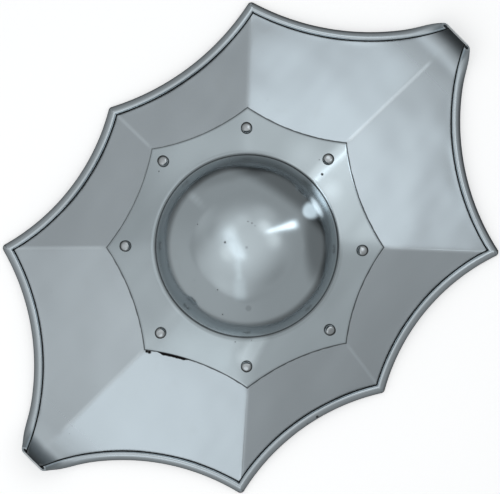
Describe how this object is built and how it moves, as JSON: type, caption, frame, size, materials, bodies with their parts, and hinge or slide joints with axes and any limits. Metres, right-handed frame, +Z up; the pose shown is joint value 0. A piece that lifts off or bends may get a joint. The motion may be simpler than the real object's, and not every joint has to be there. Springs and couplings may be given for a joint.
{
  "type": "buckler shield",
  "caption": "Steel buckler with a hollow round boss on a star flange, a concave-sided faceted plate with a rolled edge, turned-up long ends and a strap grip behind.",
  "frame": {"origin": "under the middle of the whole shield, on the surface that it lies on", "axes": "+Z up through the boss, +Y along the long axis toward the upper right end of the picture, +X toward the picture's lower right"},
  "size_m": [0.3252, 0.4956, 0.1046],
  "materials": {
    "plate_steel": "satin polished steel with fine scratches",
    "boss_steel": "satin polished steel, brighter than the plate",
    "rivet_steel": "filed steel with tool marks",
    "grip_steel": "plain darker steel"
  },
  "bodies": {
    "root": {"main_plate": "plate_steel", "boss": "boss_steel", "rivet_1": "rivet_steel", "rivet_2": "rivet_steel", "rivet_3": "rivet_steel", "rivet_4": "rivet_steel", "rivet_5": "rivet_steel", "rivet_6": "rivet_steel", "rivet_7": "rivet_steel", "rivet_8": "rivet_steel", "grip": "grip_steel"}
  },
  "joints": []
}
